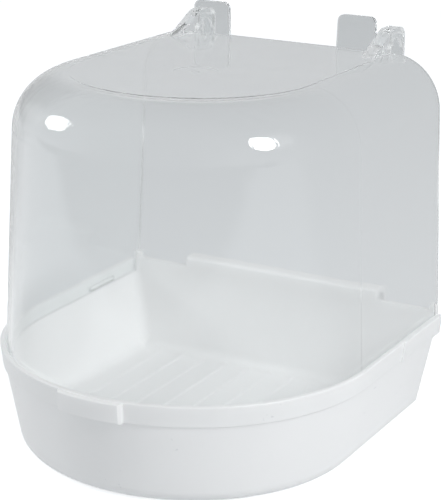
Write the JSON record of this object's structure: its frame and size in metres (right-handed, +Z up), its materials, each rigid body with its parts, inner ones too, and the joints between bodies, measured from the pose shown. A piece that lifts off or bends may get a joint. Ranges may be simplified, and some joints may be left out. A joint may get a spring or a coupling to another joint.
{
  "type": "cage bird bath",
  "caption": "D-shaped plastic bird bath with a ribbed basin and a clear domed hood, open at the back, with hooks and a bar that hang it in a cage doorway.",
  "frame": {"origin": "on the flat underside, at the centre of the round front's arc", "axes": "+Y from the round front to the open back, +Z up, +X to the right of someone who looks at the front"},
  "size_m": [0.1408, 0.1559, 0.149],
  "materials": {
    "white_plastic": "smooth gloss, injection moulded",
    "clear_plastic": "clear, polished"
  },
  "bodies": {
    "root": {"tub": "white_plastic", "hood": "clear_plastic"}
  },
  "joints": []
}
